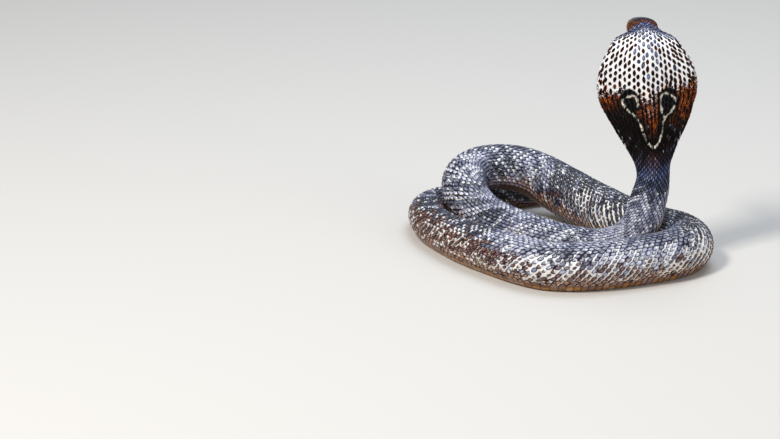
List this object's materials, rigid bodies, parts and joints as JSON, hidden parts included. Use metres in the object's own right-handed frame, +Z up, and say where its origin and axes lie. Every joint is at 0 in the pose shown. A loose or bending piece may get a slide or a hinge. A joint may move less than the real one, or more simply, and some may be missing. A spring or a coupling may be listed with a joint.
{
  "type": "spectacled cobra figure",
  "caption": "Indian spectacled cobra at life size, lying in a loop over its own tail, front raised and hood spread.",
  "frame": {"origin": "centre of the bounding box on the floor that the snake lies on", "axes": "+Z up from the floor, +Y the way the head looks, with the back of the hood facing -Y, +X to the snake's right"},
  "size_m": [0.2876, 0.2963, 0.23],
  "materials": {
    "hood_skin": "smooth scales, satin",
    "neck_skin": "smooth scales, satin",
    "body_skin": "smooth scales, satin",
    "head_skin": "smooth shields, satin",
    "eye": "polished"
  },
  "bodies": {
    "root": {"hood": "hood_skin", "neck": "neck_skin", "body_1": "body_skin", "body_2": "body_skin", "body_3": "body_skin", "body_4": "body_skin", "body_5": "body_skin", "body_6": "body_skin", "body_7": "body_skin", "body_8": "body_skin", "body_9": "body_skin", "body_10": "body_skin", "tail": "body_skin", "head": "head_skin", "lower_jaw": "head_skin", "eye_left": "eye", "eye_right": "eye"}
  },
  "joints": []
}
